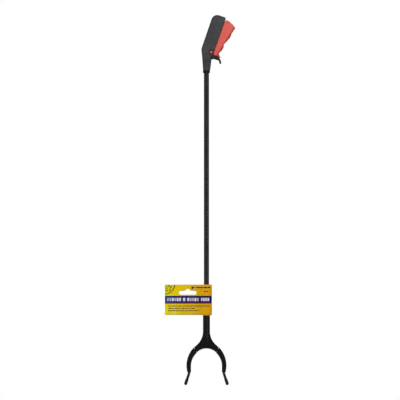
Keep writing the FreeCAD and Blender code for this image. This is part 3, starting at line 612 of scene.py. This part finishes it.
def card_sheet():
    """The folded board as one surface, with its print as material indices."""
    blocks = print_blocks()
    columns = cuts([x for block in blocks for x in block[0:2]], LEFT, RIGHT, COLUMN_STEP)
    rows = cuts([z for block in blocks for z in block[2:4]], BOTTOM, TOP, ROW_STEP)
    path = card_path(columns)
    mesh = bmesh.new()
    grid = []
    for x, y, side in path:
        drop = [sag(x, z) if side == "front" else 0.0 for z in rows]
        grid.append([mesh.verts.new((x * MM, y * MM, (z + dz) * MM)) for z, dz in zip(rows, drop)])
    for i in range(len(path) - 1):
        for j in range(len(rows) - 1):
            face = mesh.faces.new((grid[i][j], grid[i + 1][j], grid[i + 1][j + 1], grid[i][j + 1]))
            ink = ink_between(blocks, path[i], path[i + 1], rows[j], rows[j + 1])
            face.material_index = INKS.index(ink)
            face.smooth = True
    return to_object(mesh, "header_card_printed")


def card_looks():
    left = LEFT * MM
    yellow_stops = ((left, (0.70, 0.60, 0.002)),
                    (-0.055, (0.66, 0.46, 0.002)),
                    (0.012, (0.60, 0.275, 0.002)))
    navy_stops = ((left, (0.002, 0.048, 0.19)),
                  (-0.08, (0.004, 0.012, 0.11)),
                  (0.012, (0.009, 0.003, 0.07)))
    badge = ((left, 0.0, (TOP + 0.6) * MM), (0.05, 0.045, 0.012))
    return {
        "yellow": card_ink("card_yellow", (0.70, 0.44, 0.002), yellow_stops, badge, highlight_streak=-0.0797),
        "navy": card_ink("card_navy", (0.006, 0.005, 0.075), navy_stops),
        "white": card_ink("card_white", (0.6, 0.6, 0.68)),
        "grey": card_ink("card_grey", (0.36, 0.37, 0.46)),
        "line": card_ink("card_line", (0.45, 0.08, 0.003)),
        "text": card_ink("card_text", (0.07, 0.05, 0.03)),
        "red": card_ink("card_red", (0.4, 0.03, 0.006)),
        "core": card_ink("card_core", (0.55, 0.52, 0.44)),
    }


def header_card():
    card = card_sheet()
    looks = card_looks()
    for ink in INKS:
        card.data.materials.append(looks[ink])
    thick = card.modifiers.new("board", "SOLIDIFY")
    thick.thickness = SHEET * MM
    thick.offset = 0.0
    apply_modifiers(card)
    cutter = hang_slot_cutter()
    punch = card.modifiers.new("hang_slot", "BOOLEAN")
    punch.operation = "DIFFERENCE"
    punch.solver = "EXACT"
    punch.object = cutter
    apply_modifiers(card)
    bpy.data.objects.remove(cutter)
    show_core(card)
    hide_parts("header_card")
    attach(card, "root")


header_card()


# ---- return spring --------------------------------------------------------------------------------------
SPRING_TURNS = 5
SPRING_WIRE_R = 0.45 * MM
SPRING_STEPS = 32             # rings of the mesh in each turn
SPRING_SIDES = 10             # corners of each ring


def return_spring():
    """A coil on the top bush, in place of the rigid CAD node, built at one length."""
    low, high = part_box("return_spring")
    coil_r = high[0] - SPRING_WIRE_R
    foot, head = low[2] + SPRING_WIRE_R, high[2] - SPRING_WIRE_R
    count = SPRING_TURNS * SPRING_STEPS
    mesh = bmesh.new()
    rings = []
    for i in range(count + 1):
        turn = 2.0 * math.pi * i / SPRING_STEPS
        ring = []
        for k in range(SPRING_SIDES):
            side = 2.0 * math.pi * k / SPRING_SIDES
            out = coil_r + SPRING_WIRE_R * math.cos(side)
            up = foot + (head - foot) * i / count + SPRING_WIRE_R * math.sin(side)
            ring.append(mesh.verts.new((out * math.cos(turn), out * math.sin(turn), up)))
        rings.append(ring)
    for before, after in zip(rings, rings[1:]):
        for k in range(SPRING_SIDES):
            beside = (k + 1) % SPRING_SIDES
            face = mesh.faces.new((before[k], after[k], after[beside], before[beside]))
            face.smooth = True
    mesh.faces.new(rings[0])
    mesh.faces.new(rings[-1][::-1])
    bmesh.ops.recalc_face_normals(mesh, faces=mesh.faces)
    coil = to_object(mesh, "return_spring_coil")
    coil.data.materials.append(STEEL)
    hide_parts("return_spring")
    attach(coil, "root")
    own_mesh(coil)


return_spring()


# ---- studio ---------------------------------------------------------------------------------------------
VIEW_WIDTH = 0.9884           # what the square frame spans, in metres
VIEW_X, VIEW_Z = -0.01596, 0.4574
VIEW_DISTANCE = 3.0
FLOOR_Z = -0.03
FLOOR_CELLS = 6               # along each side
FLOOR_CELL = 4.0
ROOM_STRENGTH = 0.45          # of the light that the room gives, while its backdrop shows at full white
BEHIND_CAMERA = -0.3          # of a direction's Y, where the room is dark, and bright from the next
ROOM_BRIGHT = 0.35


def world():
    """A room that is white to look at and bright for light, but dark for light from behind the camera, so
    that black surfaces keep a dark middle."""
    made = bpy.data.worlds.new("studio")
    bpy.context.scene.world = made
    made.use_nodes = True
    tree = made.node_tree
    backdrop = tree.nodes["Background"]
    backdrop.inputs["Color"].default_value = (1.0, 1.0, 1.0, 1.0)
    backdrop.inputs["Strength"].default_value = 1.0
    room = node(tree, "ShaderNodeBackground")
    room.inputs["Strength"].default_value = ROOM_STRENGTH
    direction = tree.nodes.new("ShaderNodeTexCoord").outputs["Generated"]
    ahead = ramp(tree, axes(tree, direction)[1], BEHIND_CAMERA, ROOM_BRIGHT)
    link(tree, mix(tree, ahead, (0.03, 0.03, 0.03), (1.0, 1.0, 1.0)), room.inputs["Color"])
    path = tree.nodes.new("ShaderNodeLightPath")
    choose = tree.nodes.new("ShaderNodeMixShader")
    link(tree, path.outputs["Is Camera Ray"], choose.inputs["Fac"])
    link(tree, room.outputs[0], choose.inputs[1])
    link(tree, backdrop.outputs[0], choose.inputs[2])
    link(tree, choose.outputs[0], tree.nodes["World Output"].inputs["Surface"])


def softbox(name, place, target, width, height, power):
    lamp = bpy.data.lights.new(name, "AREA")
    lamp.shape = "RECTANGLE"
    lamp.size = width
    lamp.size_y = height
    lamp.energy = power
    made = bpy.data.objects.new(name, lamp)
    bpy.context.scene.collection.objects.link(made)
    made.location = place
    made.rotation_euler = (Vector(target) - Vector(place)).to_track_quat("-Z", "Y").to_euler()


def floor():
    """A flat sheet of cells, centred on the origin."""
    start = -FLOOR_CELLS * FLOOR_CELL / 2
    places = [start + i * FLOOR_CELL for i in range(FLOOR_CELLS + 1)]
    mesh = bmesh.new()
    grid = [[mesh.verts.new((x, y, FLOOR_Z)) for y in places] for x in places]
    for i in range(FLOOR_CELLS):
        for j in range(FLOOR_CELLS):
            mesh.faces.new((grid[i][j], grid[i + 1][j], grid[i + 1][j + 1], grid[i][j + 1]))
    made = to_object(mesh, "studio_floor")
    material, tree, shader = new_material("floor_paper")
    grain = noise(tree, object_point(tree), 30.0, 3.0)
    link(tree, mix(tree, grain, (0.82, 0.82, 0.82), (0.86, 0.86, 0.86)), shader.inputs["Base Color"])
    shader.inputs["Roughness"].default_value = 0.9
    made.data.materials.append(material)


def camera():
    lens = bpy.data.cameras.new("view")
    lens.type = "ORTHO"
    lens.ortho_scale = VIEW_WIDTH
    lens.clip_end = 20.0
    made = bpy.data.objects.new("view", lens)
    bpy.context.scene.collection.objects.link(made)
    made.location = (VIEW_X, -VIEW_DISTANCE, VIEW_Z)
    made.rotation_euler = (math.radians(90.0), 0.0, 0.0)
    bpy.context.scene.camera = made


world()
floor()
camera()
softbox("key_box", place=(0.1, -2.7, 2.1), target=(0.0, 0.0, 0.45), width=1.4, height=1.0, power=78.0)
softbox("right_strip", place=(1.3, -1.8, 0.65), target=(0.0, 0.0, 0.6), width=0.25, height=1.6, power=7.0)
softbox("left_panel", place=(-2.0, -1.35, 0.75), target=(0.0, 0.0, 0.6), width=1.2, height=1.6, power=4.5)
bpy.context.scene.view_settings.view_transform = "Standard"
